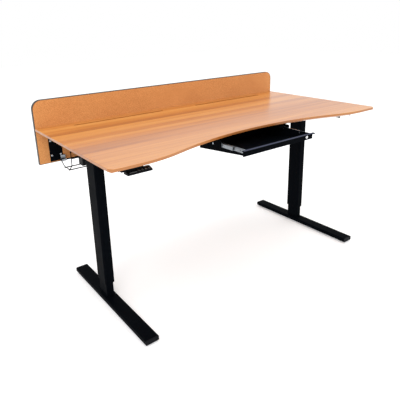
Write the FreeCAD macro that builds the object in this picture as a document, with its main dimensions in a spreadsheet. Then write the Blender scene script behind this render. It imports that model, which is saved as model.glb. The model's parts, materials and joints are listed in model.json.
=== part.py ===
import FreeCAD, Part
import math
import os
import re
import Sketcher

# Height adjustable standing desk: a wooden desktop with a scooped front edge on two
# two-stage lifting columns, with a rear privacy panel, a cable basket, a shallow
# drawer and a hand control. Millimetres, +Z up. The origin is on the floor under the
# middle of the desk; the user sits on the -Y side and the panel stands on the +Y side.

doc = FreeCAD.newDocument("StandingDesk")
V = FreeCAD.Vector

# ----------------------------------------------------------------------------------
# Driving dimensions
# ----------------------------------------------------------------------------------

DIMENSIONS = {
    # desktop
    "desktop_width": 1524, "desktop_depth": 752, "desktop_thick": 25,
    "surface_height": 755, "edge_height": 10.5, "edge_round": 1.5,
    "corner_radius": 28, "ear_flat": 84, "undercut_run": 40, "scoop_depth": 107,
    "scoop_share": 0.72,
    "slot_long": 490, "slot_wide": 14, "slot_inner_x": 108, "wood_screw_long": 16,
    # rear panel
    "panel_thick": 18, "panel_rise": 127, "panel_drop": 173, "panel_top_radius": 42,
    "cork_thick": 3, "edging_thick": 2,
    # panel brackets and their screws
    "bracket_wide": 60, "bracket_plate": 3, "bracket_flange": 45, "bracket_inset": 82,
    "bracket_drop": 142, "bracket_screw_low": 30, "bracket_screw_high": 42,
    "screw_head_radius": 5, "screw_head_thick": 2.6, "screw_radius": 2,
    "screw_long": 14, "screw_inset": 9, "screw_gap": 0.1, "hole_spare": 0.5,
    # cable basket and its hooks
    "basket_inset": 94, "basket_overhang": 3, "basket_wires": 11, "basket_wire": 4,
    "basket_rail": 5, "basket_weld": 0.8, "basket_bend": 16, "basket_back_y": 14,
    "basket_depth": 135, "basket_base_drop": 162, "basket_back_rise": 23,
    "basket_front_rise": 92, "basket_back_run": 36, "basket_front_run": 34,
    "basket_front_slope": 28, "basket_belt_rise": 62, "hook_wide": 22,
    "hook_thick": 3, "hook_tip": 9, "hook_foot": 28, "hook_strip": 26,
    "rear_hook_shift": 29, "middle_hook_x": 14,
    # control box
    "control_long": 260, "control_high": 62, "control_spare": 19, "control_round": 4,
    "control_inset": 162, "socket_deep": 6, "socket_wide": 14, "socket_high": 9,
    "inlet_deep": 13, "inlet_wide": 24, "inlet_high": 20, "inlet_rise": 38,
    "inlet_wall": 3, "inlet_floor": 4,
    # frame under the desktop
    "leg_inset": 122, "leg_setback": 345, "rail_plate": 4, "rail_wide": 92,
    "rail_flange": 20, "rail_flange_thick": 3, "rail_front_gap": 95,
    "rail_rear_gap": 97, "rail_screw_inset": 48, "rail_screw_apart": 50,
    "gear_wide": 76, "gear_deep": 100, "gear_high": 42, "gear_shift": 5,
    "gear_round": 8, "crossbar_deep": 80, "crossbar_high": 42, "crossbar_wall": 2,
    "motor_margin": 1, "motor_long": 130, "motor_shift": 28,
    # lifting columns
    "outer_x": 45, "outer_y": 84, "outer_wall": 1.6, "outer_round": 7,
    "outer_foot_gap": 69, "collar_wall": 3.4, "inner_wall": 1.5, "inner_round": 5,
    "inner_top_drop": 70, "slide_gap": 0.3, "press_gap": 0.1, "collar_high": 40,
    "carrier_high": 40, "carrier_cap": 8, "spindle_radius": 7,
    "spindle_foot_gap": 114, "spindle_journal": 30, "journal_gap": 0.05,
    # feet
    "foot_wide": 60, "foot_high": 21, "foot_setback": 16.5, "foot_rear_gap": 51.5,
    "foot_wall": 2, "foot_round": 4, "foot_cap": 3, "foot_plug": 12,
    "glide_high": 7, "glide_radius": 20, "glide_inset": 38, "glide_collar": 2,
    "stud_radius": 4, "stud_long": 15, "glide_gap": 0.2,
    # drawer
    "tray_half_wide": 195, "tray_long": 300, "tray_wall": 1.2, "tray_top_drop": 12,
    "tray_front_high": 27, "tray_back_high": 56, "drawer_proud": 8,
    "drawer_open": 132, "front_thick": 2, "front_margin": 1.5, "lip_deep": 12,
    "lip_over": 5, "lip_thick": 3, "curl_swell": 0.5,
    # drawer slides and hangers
    "slide_space": 12.5, "hanger_plate": 2, "hanger_high": 33, "hanger_flange": 18,
    "hanger_clear": 1, "hanger_step": 30, "member_high": 18, "member_wall": 1.2,
    "member_lip": 4, "member_core": 7, "member_groove": 5, "member_gap": 0.4,
    "tongue_gap": 0.8, "port_radius": 3, "rivet_radius": 4, "rivet_head": 1.5,
    "guard_radius": 11.5, "guard_bore": 8.5, "guard_inset": 12, "guard_rise": 8,
    # lock
    "lock_inset": 23, "lock_drop": 14, "lock_radius": 8, "lock_core_radius": 5.5,
    "lock_long": 16, "lock_face": 2, "core_proud": 1.5, "keyway_wide": 1.6,
    "keyway_high": 6.4, "keyway_deep": 7, "cam_long": 20, "cam_wide": 10,
    "cam_thick": 2, "strike_wide": 30, "strike_long": 60, "strike_thick": 2,
    "strike_clear": 1.5,
    # hand control
    "pad_inset": 88, "pad_wide": 101, "pad_deep": 31, "pad_high": 12,
    "pad_setback": 50, "pad_bevel": 6, "pad_drop": 18, "pad_round": 3,
    "mount_wide": 88, "mount_inset": 16, "mount_setback": 16.5, "key_wide": 10,
    "key_deep": 9, "key_first": 43, "key_pitch": 14, "key_rise": 1.6, "key_gap": 0.35,
    "key_base": 6, "well_base": 4, "screen_inset": 9, "screen_wide": 29,
}

# Lengths and places that follow from the driving dimensions
DERIVED = {
    "panel_face_y": "(@drawer_front + @lip_deep - @panel_thick) / 2",
    "drawer_front": "@desktop_depth - @scoop_depth + @drawer_proud + @drawer_open",
    "scoop_half_width": "@desktop_width / 2 - @corner_radius - @ear_flat",
    "scoop_radius": "@scoop_share * (@scoop_half_width * @scoop_half_width"
                    " + @scoop_depth * @scoop_depth) / (2 * @scoop_depth)",
    "slot_setback": "@bracket_flange + @slot_wide / 2",
    "under_z": "@surface_height - @desktop_thick",
    "bracket_x": "@desktop_width / 2 - @bracket_inset",
    "basket_half_long": "@desktop_width / 2 - @basket_inset",
    "basket_step": "2 * (@basket_half_long - @basket_overhang) / (@basket_wires - 1)",
    "basket_base_z": "@under_z - @basket_base_drop",
    "basket_back_z": "@basket_base_z + @basket_back_rise",
    "basket_front_z": "@basket_base_z + @basket_front_rise",
    "control_left_x": "@desktop_width / 2 - @control_inset",
    "control_wide": "@basket_depth - @basket_back_run - @basket_front_run - @control_spare",
    "leg_x": "@desktop_width / 2 - @leg_inset",
    # halfway between the inner edge of the leg's bracket and the next wire of the basket
    "front_hook_x": "(@leg_x - @rail_wide / 2 + @basket_half_long - @basket_overhang"
                    " - @basket_step) / 2",
    "leg_y": "@panel_face_y - @leg_setback",
    "rail_long": "@desktop_depth - @rail_front_gap - @rail_rear_gap",
    "rail_front_y": "@panel_face_y - @desktop_depth + @rail_front_gap",
    "gear_low_z": "@under_z - @rail_plate - @gear_high",
    "motor_radius": "@gear_high / 2 - @motor_margin",
    "motor_setback": "@leg_setback - @motor_shift",
    "foot_top_z": "@glide_high + @foot_high",
    "outer_bottom_z": "@foot_top_z + @outer_foot_gap",
    "hole_x": "@outer_x - 2 * @outer_wall",
    "hole_y": "@outer_y - 2 * @outer_wall",
    "inner_x": "@hole_x - 2 * @collar_wall",
    "inner_y": "@hole_y - 2 * @collar_wall",
    "inner_top_z": "@gear_low_z - @inner_top_drop",
    "spindle_low_z": "@foot_top_z + @spindle_foot_gap",
    "foot_front": "@desktop_depth - @foot_setback",
    "foot_long": "@foot_front - @foot_rear_gap",
    "tray_front_y": "@panel_face_y - @drawer_front",
    "tray_top_z": "@under_z - @tray_top_drop",
    "tray_front_z": "@tray_top_z - @tray_front_high",
    "tray_back_z": "@tray_top_z - @tray_back_high",
    "front_half_wide": "@tray_half_wide + @slide_space + @hanger_plate + @front_margin",
    "hanger_front_y": "@tray_front_y + @drawer_open + @front_thick + @hanger_clear",
    "member_long": "@tray_long - @front_thick",
    "member_low_z": "@tray_top_z - @member_high",
    "lock_x": "@tray_half_wide - @lock_inset",
    "lock_z": "@tray_top_z - @lock_drop",
    "pad_left_x": "@desktop_width / 2 - @pad_inset",
    "pad_front": "@desktop_depth - @pad_setback",
}

sheet = doc.addObject("Spreadsheet::Sheet", "Dims")
for row, (alias, value) in enumerate(DIMENSIONS.items(), start=1):
    sheet.set(f"A{row}", alias)
    sheet.set(f"B{row}", str(value))
    sheet.setAlias(f"B{row}", alias)
doc.recompute()


def expand(text):
    """Write derived names out in driving dimensions."""
    while any(name in DERIVED for name in re.findall(r"@(\w+)", text)):
        text = re.sub(r"@(\w+)", lambda m: f"({DERIVED[m.group(1)]})"
                      if m.group(1) in DERIVED else m.group(0), text)
    return text


def d(text):
    """Turn @alias into the sheet reference that expressions use."""
    return expand(text).replace("@", "Dims.")


def number(text):
    """Value of an expression over dimensions, worked out in the sheet's scratch cell."""
    terms = re.sub(r"@(\w+)", lambda m: repr(float(getattr(sheet, m.group(1)))),
                   expand(text))
    sheet.set("D1", "=" + terms)
    sheet.recompute()
    value = sheet.get("D1")
    return float(getattr(value, "Value", value))


def dim(alias):
    """Value of a dimension, for code that needs a number."""
    return number("@" + alias)


# Short names for the places used all over the model
FACE = "@panel_face_y"
UNDER = "@under_z"
LEG_Y = "@leg_y"
FOOT_TOP = "@foot_top_z"
GEAR_LOW = "@gear_low_z"
TRAY_FRONT_Y = "@tray_front_y"
HANGER_FRONT_Y = "@hanger_front_y"
MEMBER_LOW = "@member_low_z"

nodes = []


# ----------------------------------------------------------------------------------
# Small helpers for bound primitives, booleans and sketched bodies
# ----------------------------------------------------------------------------------

def bind(obj, **expressions):
    for prop, text in expressions.items():
        obj.setExpression(prop.replace("__", "."), d(text))
    return obj


def place(obj, x="0", y="0", z="0"):
    return bind(obj, Placement__Base__x=x, Placement__Base__y=y, Placement__Base__z=z)


def box(name, size, corner):
    obj = doc.addObject("Part::Box", name)
    bind(obj, Length=size[0], Width=size[1], Height=size[2])
    return place(obj, *corner)


TURN = {"X": FreeCAD.Rotation(V(0, 1, 0), 90), "Y": FreeCAD.Rotation(V(1, 0, 0), -90),
        "Z": FreeCAD.Rotation()}


def rod(name, radius, length, start, axis="Z"):
    """Cylinder that runs from start along +X, +Y or +Z."""
    obj = doc.addObject("Part::Cylinder", name)
    obj.Placement = FreeCAD.Placement(V(0, 0, 0), TURN[axis])
    bind(obj, Radius=radius, Height=length)
    return place(obj, *start)


def dome(name, radius, height, start, axis="Z"):
    """Slightly tapered screw or rivet head from start along the axis."""
    obj = doc.addObject("Part::Cone", name)
    obj.Placement = FreeCAD.Placement(V(0, 0, 0), TURN[axis])
    bind(obj, Radius1=radius, Radius2=f"0.6 * ({radius})", Height=height)
    return place(obj, *start)


def fuse(name, shapes):
    if len(shapes) == 1:
        return shapes[0]
    obj = doc.addObject("Part::MultiFuse", name)
    obj.Shapes = shapes
    obj.Refine = True
    return obj


def cut(name, base, tools):
    obj = doc.addObject("Part::Cut", name)
    obj.Base = base
    obj.Tool = fuse(name + "_tools", tools)
    obj.Refine = True
    return obj


def group(name, shapes):
    """Separate solids that are kept as one node."""
    obj = doc.addObject("Part::Compound", name)
    obj.Links = shapes
    return obj


def node(label, obj):
    obj.Label = label
    nodes.append(obj)
    return obj


def new_body(name):
    return doc.addObject("PartDesign::Body", name)


def sketch_on(body, plane, name):
    sketch = body.newObject("Sketcher::SketchObject", name)
    origin = [f for f in body.Origin.OriginFeatures if f.Role == plane][0]
    sketch.AttachmentSupport = [(origin, "")]
    sketch.MapMode = "FlatFace"
    return sketch


def chain(sketch, pieces):
    """Add lines and arcs as a closed outline whose neighbours share end points."""
    first = sketch.GeometryCount
    for piece in pieces:
        sketch.addGeometry(piece, False)
    ids = list(range(first, first + len(pieces)))
    for a, b in zip(ids, ids[1:] + ids[:1]):
        sketch.addConstraint(Sketcher.Constraint("Coincident", a, 2, b, 1))
    return ids


def polygon(sketch, points):
    """Closed outline of straight edges through points given as (u, v) expressions."""
    values = [(number(u), number(v)) for u, v in points]
    ends = [V(u, v, 0) for u, v in values]
    pieces = [Part.LineSegment(a, b) for a, b in zip(ends, ends[1:] + ends[:1])]
    ids = chain(sketch, pieces)
    for i, (u, v) in zip(ids, points):
        for kind, text, value in (("DistanceX", u, ends[i - ids[0]].x),
                                  ("DistanceY", v, ends[i - ids[0]].y)):
            c = sketch.addConstraint(Sketcher.Constraint(kind, -1, 1, i, 1, value))
            sketch.renameConstraint(c, f"{kind}_{i}")
            sketch.setExpression(f"Constraints.{kind}_{i}", d(text))
    return ids


def rounded_rectangle(sketch, tag, wide, tall, radius):
    """Rounded rectangle centred on the sketch origin, driven by three expressions."""
    a, b, r = number(wide) / 2, number(tall) / 2, number(radius)
    top = [V(-a + r, b, 0), V(a - r, b, 0)]
    right = [V(a, b - r, 0), V(a, -b + r, 0)]
    low = [V(a - r, -b, 0), V(-a + r, -b, 0)]
    left = [V(-a, -b + r, 0), V(-a, b - r, 0)]
    bow = r * (1 - math.sqrt(0.5))
    pieces = [Part.LineSegment(*top),
              Part.Arc(top[1], V(a - bow, b - bow, 0), right[0]),
              Part.LineSegment(*right),
              Part.Arc(right[1], V(a - bow, -b + bow, 0), low[0]),
              Part.LineSegment(*low),
              Part.Arc(low[1], V(-a + bow, -b + bow, 0), left[0]),
              Part.LineSegment(*left),
              Part.Arc(left[1], V(-a + bow, b - bow, 0), top[0])]
    first = sketch.GeometryCount
    for piece in pieces:
        sketch.addGeometry(piece, False)
    ids = list(range(first, first + 8))
    add = sketch.addConstraint
    for i in range(8):
        near, far = ids[i], ids[(i + 1) % 8]
        arc, line = (near, far) if i % 2 else (far, near)
        if i % 2:
            add(Sketcher.Constraint("Tangent", arc, end_touching(sketch, arc, line, 1),
                                    line, 1))
        else:
            add(Sketcher.Constraint("Tangent", line, 2,
                                    arc, end_touching(sketch, arc, line, 2)))
    add(Sketcher.Constraint("Horizontal", ids[0]))
    add(Sketcher.Constraint("Vertical", ids[2]))
    add(Sketcher.Constraint("Horizontal", ids[4]))
    add(Sketcher.Constraint("Vertical", ids[6]))
    for arc in (ids[3], ids[5], ids[7]):
        add(Sketcher.Constraint("Equal", ids[1], arc))
    add(Sketcher.Constraint("Symmetric", ids[1], 3, ids[5], 3, -1, 1))
    sizes = (("wide", Sketcher.Constraint("DistanceX", ids[6], 1, ids[2], 1, 2 * a), wide),
             ("tall", Sketcher.Constraint("DistanceY", ids[4], 1, ids[0], 1, 2 * b), tall),
             ("radius", Sketcher.Constraint("Radius", ids[1], r), radius))
    for name, constraint, text in sizes:
        index = add(constraint)
        sketch.renameConstraint(index, tag + name)
        sketch.setExpression(f"Constraints.{tag}{name}", d(text))
    return ids


def end_touching(sketch, arc, line, line_end):
    """Which end of an arc lies on the given end of a line."""
    point = sketch.getPoint(line, line_end)
    ends = [sketch.getPoint(arc, end).distanceToPoint(point) for end in (1, 2)]
    return 1 if ends[0] < ends[1] else 2


def pad(body, sketch, length, name="Pad"):
    feature = body.newObject("PartDesign::Pad", name)
    feature.Profile = sketch
    bind(feature, Length=length)
    sketch.Visibility = False
    body.Tip = feature
    return feature


def prism(label, plane, size, length, corner, hole=None):
    """Rounded bar or tube: its section is centred on the body's own origin.

    size and hole are (wide, tall, radius). The pad runs +Z from an XY section, -Y from
    an XZ section and +X from a YZ section.
    """
    body = new_body(label + "_body")
    sketch = sketch_on(body, plane, label + "_section")
    rounded_rectangle(sketch, "outer_", *size)
    if hole:
        rounded_rectangle(sketch, "inner_", *hole)
    pad(body, sketch, length, label + "_pad")
    return place(body, *corner)


def edges_at(feature, test):
    """Names of a feature's edges that pass a test."""
    doc.recompute()
    return [f"Edge{i}" for i, edge in enumerate(feature.Shape.Edges, start=1)
            if test(edge)]


def upright(edge):
    """True for a vertical edge."""
    bounds = edge.BoundBox
    return max(bounds.XLength, bounds.YLength) < 1e-6 and bounds.ZLength > 1


def underside_inset(feature):
    """How far the desktop's flat underside stays inside its left edge; 0 if it has none."""
    doc.recompute()
    flat = [face for face in feature.Shape.Faces
            if abs(face.BoundBox.ZMax) < 1e-6 and abs(face.BoundBox.ZMin) < 1e-6]
    return flat[0].BoundBox.XMin - feature.Shape.BoundBox.XMin if flat else 0


def level(edge, z):
    """True when the whole edge lies at height z."""
    bounds = edge.BoundBox
    return abs(bounds.ZMin - z) < 1e-4 and abs(bounds.ZMax - z) < 1e-4


def screw(name, head_at, axis_sign):
    """Round-head screw: axis_sign is '+Y' for one driven towards +Y, or '+Z'."""
    x, y, z = head_at
    if axis_sign == "+Y":
        head = dome(name + "_head", "@screw_head_radius", "@screw_head_thick",
                    (x, y, z), "Y")
        head.Placement = FreeCAD.Placement(V(0, 0, 0), FreeCAD.Rotation(V(1, 0, 0), 90))
        place(head, x, y, z)
        shank = rod(name + "_shank", "@screw_radius", "@screw_long", (x, y, z), "Y")
    else:
        head = dome(name + "_head", "@screw_head_radius", "@screw_head_thick",
                    (x, y, z))
        head.Placement = FreeCAD.Placement(V(0, 0, 0), FreeCAD.Rotation(V(1, 0, 0), 180))
        place(head, x, y, z)
        shank = rod(name + "_shank", "@screw_radius", "@wood_screw_long", (x, y, z))
    return fuse(name, [head, shank])


def screw_hole(name, head_at, axis):
    """Drilled hole for a screw, through the plate and into what is behind it."""
    long = "@screw_long" if axis == "Y" else "@wood_screw_long"
    return rod(name, "@screw_radius + @screw_gap", f"{long} + @hole_spare", head_at, axis)


# ----------------------------------------------------------------------------------
# Where the screws go; plates and the wood behind them are drilled from these lists
# ----------------------------------------------------------------------------------

BRACKETS = {"left": "-@bracket_x", "middle": "0", "right": "@bracket_x"}
BRACKET_FACE_Y = f"({FACE} - @bracket_plate)"
BRACKET_LOW = f"({UNDER} - @bracket_drop)"
HALF_BRACKET = "(@bracket_wide / 2 - @screw_inset)"

panel_screw_places = {}
flange_screw_places = {}
for side, centre_x in BRACKETS.items():
    for col, sign in (("a", "-"), ("b", "+")):
        x = f"{centre_x} {sign} {HALF_BRACKET}"
        for height, z in (("low", f"{BRACKET_LOW} + @bracket_screw_low"),
                          ("high", f"{UNDER} - @bracket_screw_high")):
            panel_screw_places[f"{side}_{col}_{height}"] = (x, BRACKET_FACE_Y, z)
        flange_screw_places[f"{side}_{col}_flange"] = (
            x, f"{FACE} - @bracket_flange + @screw_inset", f"{UNDER} - @bracket_plate")

rail_screw_places = {}
for side, sign in (("left", "-"), ("right", "+")):
    for end, y in (("front", "@rail_front_y + @rail_screw_inset"),
                   ("rear", "@rail_front_y + @rail_long - @rail_screw_inset")):
        for col, way in (("a", "-"), ("b", "+")):
            rail_screw_places[f"rail_{side}_{end}_{col}"] = (
                f"{sign}@leg_x {way} @rail_screw_apart / 2", y, f"{UNDER} - @rail_plate")


# ----------------------------------------------------------------------------------
# Desktop and rear panel
# ----------------------------------------------------------------------------------

def build_desktop():
    """Slab with a scooped front between two ears, undercut along its front and sides."""
    half, depth, dip = dim("desktop_width") / 2, dim("desktop_depth"), dim("scoop_depth")
    reach, inner = dim("scoop_half_width"), dim("scoop_radius")
    turn = 2 * math.atan(dip / reach)
    outer = reach / math.sin(turn) - inner
    inner_x, middle_y = inner * math.sin(turn), -(depth - dip) - inner
    inner_y = middle_y + inner * math.cos(turn)
    swing = outer * math.sin(turn / 2), outer * (1 - math.cos(turn / 2))

    body = new_body("desktop_body")
    outline = sketch_on(body, "XY_Plane", "desktop_outline")
    pieces = [
        Part.LineSegment(V(half, 0, 0), V(-half, 0, 0)),
        Part.LineSegment(V(-half, 0, 0), V(-half, -depth, 0)),
        Part.LineSegment(V(-half, -depth, 0), V(-reach, -depth, 0)),
        Part.Arc(V(-reach, -depth, 0), V(-reach + swing[0], -depth + swing[1], 0),
                 V(-inner_x, inner_y, 0)),
        Part.Arc(V(-inner_x, inner_y, 0), V(0, -(depth - dip), 0),
                 V(inner_x, inner_y, 0)),
        Part.Arc(V(inner_x, inner_y, 0), V(reach - swing[0], -depth + swing[1], 0),
                 V(reach, -depth, 0)),
        Part.LineSegment(V(reach, -depth, 0), V(half, -depth, 0)),
        Part.LineSegment(V(half, -depth, 0), V(half, 0, 0)),
    ]
    for piece in pieces:
        outline.addGeometry(piece, False)
    rear, left, left_ear, left_bend, scoop, right_bend, right_ear, right = range(8)
    add = outline.addConstraint
    for here, there in ((rear, left), (left, left_ear), (right_ear, right), (right, rear)):
        add(Sketcher.Constraint("Coincident", here, 2, there, 1))
    smooth = [left_ear, left_bend, scoop, right_bend, right_ear]
    for here, there in zip(smooth, smooth[1:]):
        joint = pieces[here].EndPoint
        ends = []
        for item in (here, there):
            gaps = [outline.getPoint(item, end).distanceToPoint(joint) for end in (1, 2)]
            ends.append(1 if gaps[0] < gaps[1] else 2)
        add(Sketcher.Constraint("Tangent", here, ends[0], there, ends[1]))
    add(Sketcher.Constraint("Symmetric", rear, 1, rear, 2, -1, 1))
    add(Sketcher.Constraint("Vertical", left))
    add(Sketcher.Constraint("Vertical", right))
    add(Sketcher.Constraint("Horizontal", left_ear))
    add(Sketcher.Constraint("PointOnObject", scoop, 3, -2))
    sizes = [
        ("wide", Sketcher.Constraint("DistanceX", rear, 2, rear, 1, 2 * half),
         "@desktop_width"),
        ("deep", Sketcher.Constraint("DistanceY", left_ear, 1, -1, 1, depth),
         "@desktop_depth"),
        ("scoop", Sketcher.Constraint("Radius", scoop, inner), "@scoop_radius"),
        ("dip", Sketcher.Constraint("DistanceY", scoop, 3, -1, 1, -middle_y),
         "@desktop_depth - @scoop_depth + @scoop_radius"),
        ("reach", Sketcher.Constraint("DistanceX", left_bend, 3, right_bend, 3,
                                      2 * reach), "2 * @scoop_half_width"),
    ]
    for name, constraint, text in sizes:
        index = add(constraint)
        outline.renameConstraint(index, name)
        outline.setExpression("Constraints." + name, d(text))
    slab = pad(body, outline, "@desktop_thick", "desktop_slab")

    under_edges = edges_at(slab, lambda e: level(e, 0) and e.BoundBox.YMin < -1)
    bevel = body.newObject("PartDesign::Chamfer", "undercut")
    bevel.Base = (slab, under_edges)
    bevel.ChamferType = "Two distances"
    bind(bevel, Size="@desktop_thick - @edge_height", Size2="@undercut_run")
    body.Tip = bevel
    if abs(underside_inset(bevel) - dim("undercut_run")) > 0.01:
        bevel.FlipDirection = True
    corners = edges_at(bevel, lambda e: upright(e) and e.BoundBox.YMin < -1)
    rounded = body.newObject("PartDesign::Fillet", "rounded_ears")
    rounded.Base = (bevel, corners)
    bind(rounded, Radius="@corner_radius")
    body.Tip = rounded
    thick = dim("desktop_thick")
    top_edges = edges_at(rounded, lambda e: level(e, thick) and e.BoundBox.YMin < -1)
    ease = body.newObject("PartDesign::Fillet", "eased_edge")
    ease.Base = (rounded, top_edges)
    bind(ease, Radius="@edge_round")
    body.Tip = ease
    place(body, "0", FACE, UNDER)

    # The slots lie in one glued strip: the slab is parted along their two long sides,
    # and blocks of the same section fill the strip left of, between and right of them.
    strip_y = f"{FACE} - @slot_setback - @slot_wide / 2"
    far = "@desktop_width"
    parting = box("slot_strip", (f"2 * {far}", "@slot_wide", "@desktop_thick + 2"),
                  (f"-{far}", strip_y, f"{UNDER} - 1"))
    drilled = [screw_hole(f"desk_hole_{name}", (x, y, UNDER), "Z")
               for name, (x, y, z) in {**flange_screw_places, **rail_screw_places}.items()]
    slabs = cut("desktop_slabs", body, [parting] + drilled)
    fills = []
    outer_x = "(@slot_inner_x + @slot_long)"
    for name, start, wide in (("left", f"-{far}", f"{far} - {outer_x}"),
                              ("middle", "-@slot_inner_x", "2 * @slot_inner_x"),
                              ("right", outer_x, f"{far} - {outer_x}")):
        block = box(f"slot_fill_{name}_block", (wide, "@slot_wide", "@desktop_thick + 2"),
                    (start, strip_y, f"{UNDER} - 1"))
        fill = doc.addObject("Part::Common", f"slot_fill_{name}")
        fill.Base, fill.Tool = body, block
        fills.append(fill)
    node("desktop", group("desktop_glued", [slabs] + fills))


def build_panel():
    """Cork-faced board in a thin black edging, standing behind the desktop."""
    high = "(@panel_rise + @panel_drop)"
    middle_z = "(@surface_height + (@panel_rise - @panel_drop) / 2)"

    def board(label, inset, thick, rear_y):
        wide = f"@desktop_width - 2 * {inset}"
        slab = prism(label, "XZ_Plane", (wide, f"{high} - 2 * {inset}",
                                         f"@panel_top_radius - {inset}"),
                     thick, ("0", rear_y, middle_z))
        square = []
        for side, sign in (("left", -1), ("right", 1)):
            x = (f"-@desktop_width / 2 + {inset}" if sign < 0
                 else f"@desktop_width / 2 - {inset} - @panel_top_radius")
            square.append(box(f"{label}_{side}_low",
                              ("@panel_top_radius", thick, "@panel_top_radius"),
                              (x, f"{rear_y} - {thick}",
                               f"@surface_height - @panel_drop + {inset}")))
        return fuse(label + "_board", [slab] + square)

    rear_face = f"({FACE} + @panel_thick)"
    core_thick = "(@panel_thick - 2 * @cork_thick)"
    holes = [screw_hole(f"core_hole_{name}", place_, "Y")
             for name, place_ in panel_screw_places.items()]
    more_holes = [screw_hole(f"cork_hole_{name}", place_, "Y")
                  for name, place_ in panel_screw_places.items()]
    node("panel_core", cut("panel_core_cut", board(
        "panel_core", "@edging_thick", core_thick, f"{rear_face} - @cork_thick"), holes))
    node("panel_cork_front", cut("panel_cork_front_cut", board(
        "panel_cork_front", "@edging_thick", "@cork_thick",
        f"{FACE} + @cork_thick"), more_holes))
    node("panel_cork_rear", board("panel_cork_rear", "@edging_thick", "@cork_thick",
                                  rear_face))
    whole = board("panel_whole", "0", "@panel_thick", rear_face)
    inside = board("panel_inside", "@edging_thick", "@panel_thick", rear_face)
    node("panel_edging", cut("panel_edging_cut", whole, [inside]))


def build_panel_brackets():
    screws = []
    for side, centre_x in BRACKETS.items():
        left_x = f"{centre_x} - @bracket_wide / 2"
        plate = box(f"bracket_{side}_plate",
                    ("@bracket_wide", "@bracket_plate", "@bracket_drop"),
                    (left_x, BRACKET_FACE_Y, BRACKET_LOW))
        flange = box(f"bracket_{side}_flange",
                     ("@bracket_wide", "@bracket_flange", "@bracket_plate"),
                     (left_x, f"{FACE} - @bracket_flange", f"{UNDER} - @bracket_plate"))
        holes = []
        for name, spot in panel_screw_places.items():
            if name.startswith(side):
                holes.append(screw_hole(f"plate_hole_{name}", spot, "Y"))
                screws.append(screw(f"screw_{name}", spot, "+Y"))
        for name, spot in flange_screw_places.items():
            if name.startswith(side):
                holes.append(screw_hole(f"plate_hole_{name}", spot, "Z"))
                screws.append(screw(f"screw_{name}", spot, "+Z"))
        node(f"panel_bracket_{side}", cut(f"bracket_{side}_cut", fuse(
            f"bracket_{side}_bent", [plate, flange]), holes))
    node("panel_bracket_screws", group("panel_bracket_screws_group", screws))


# ----------------------------------------------------------------------------------
# Cable basket, its hooks and the control box that lies in it
# ----------------------------------------------------------------------------------

def build_basket():
    """Trough of bent wires welded across long rails."""
    face, back = dim("panel_face_y"), dim("basket_back_y")
    rear_y, front_y = face - back, face - back - dim("basket_depth")
    base_z, bend = dim("basket_base_z"), dim("basket_bend")
    wire, rail = dim("basket_wire") / 2, dim("basket_rail") / 2
    half, count = dim("basket_half_long"), round(dim("basket_wires"))
    corners = [V(0, rear_y, dim("basket_back_z")),
               V(0, rear_y - dim("basket_back_run"), base_z),
               V(0, front_y + dim("basket_front_run"), base_z),
               V(0, front_y, base_z + dim("basket_front_slope")),
               V(0, front_y, dim("basket_front_z"))]

    path = []
    start = corners[0]
    for before, corner, after in zip(corners, corners[1:], corners[2:]):
        into = (corner - before).normalize()
        out = (after - corner).normalize()
        half_turn = into.getAngle(out) / 2
        trim = bend * math.tan(half_turn)
        first, last = corner - into * trim, corner + out * trim
        centre_way = (out - into).normalize()
        middle = corner + centre_way * (bend / math.cos(half_turn) - bend)
        path.append(Part.LineSegment(start, first).toShape())
        path.append(Part.Arc(first, middle, last).toShape())
        start = last
    path.append(Part.LineSegment(start, corners[-1]).toShape())

    def cross_wire(x):
        line = Part.Wire([edge.copy() for edge in path])
        line.translate(V(x, 0, 0))
        begin = V(x, corners[0].y, corners[0].z)
        section = Part.Wire(Part.Circle(begin, corners[1] - corners[0], wire).toShape())
        return line.makePipeShell([section], True, True)

    def long_rail(y, z):
        return Part.makeCylinder(rail, 2 * half, V(-half, y, z), V(1, 0, 0))

    reach = half - dim("basket_overhang")
    wires = [cross_wire(-reach + 2 * reach * i / (count - 1)) for i in range(count)]
    apart = wire + rail - dim("basket_weld")
    rails = [long_rail(corners[0].y, corners[0].z),
             long_rail(corners[1].y - bend / 2, base_z - apart),
             long_rail(corners[2].y + bend / 2, base_z - apart),
             long_rail(front_y - apart, base_z + dim("basket_belt_rise")),
             long_rail(corners[4].y, corners[4].z)]
    basket = doc.addObject("Part::Feature", "cable_basket_wires")
    basket.Shape = wires[0].multiFuse(wires[1:] + rails)
    basket.Placement = FreeCAD.Placement()
    node("cable_basket", basket)


REAR_HOOK_X = {"left": "(-@bracket_x + @rear_hook_shift)", "middle": "@middle_hook_x",
               "right": "(@bracket_x - @rear_hook_shift)"}
FRONT_HOOK_X = {"left": "(-@front_hook_x)", "middle": "(0.5 * @basket_step)",
                "right": "@front_hook_x"}


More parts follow.
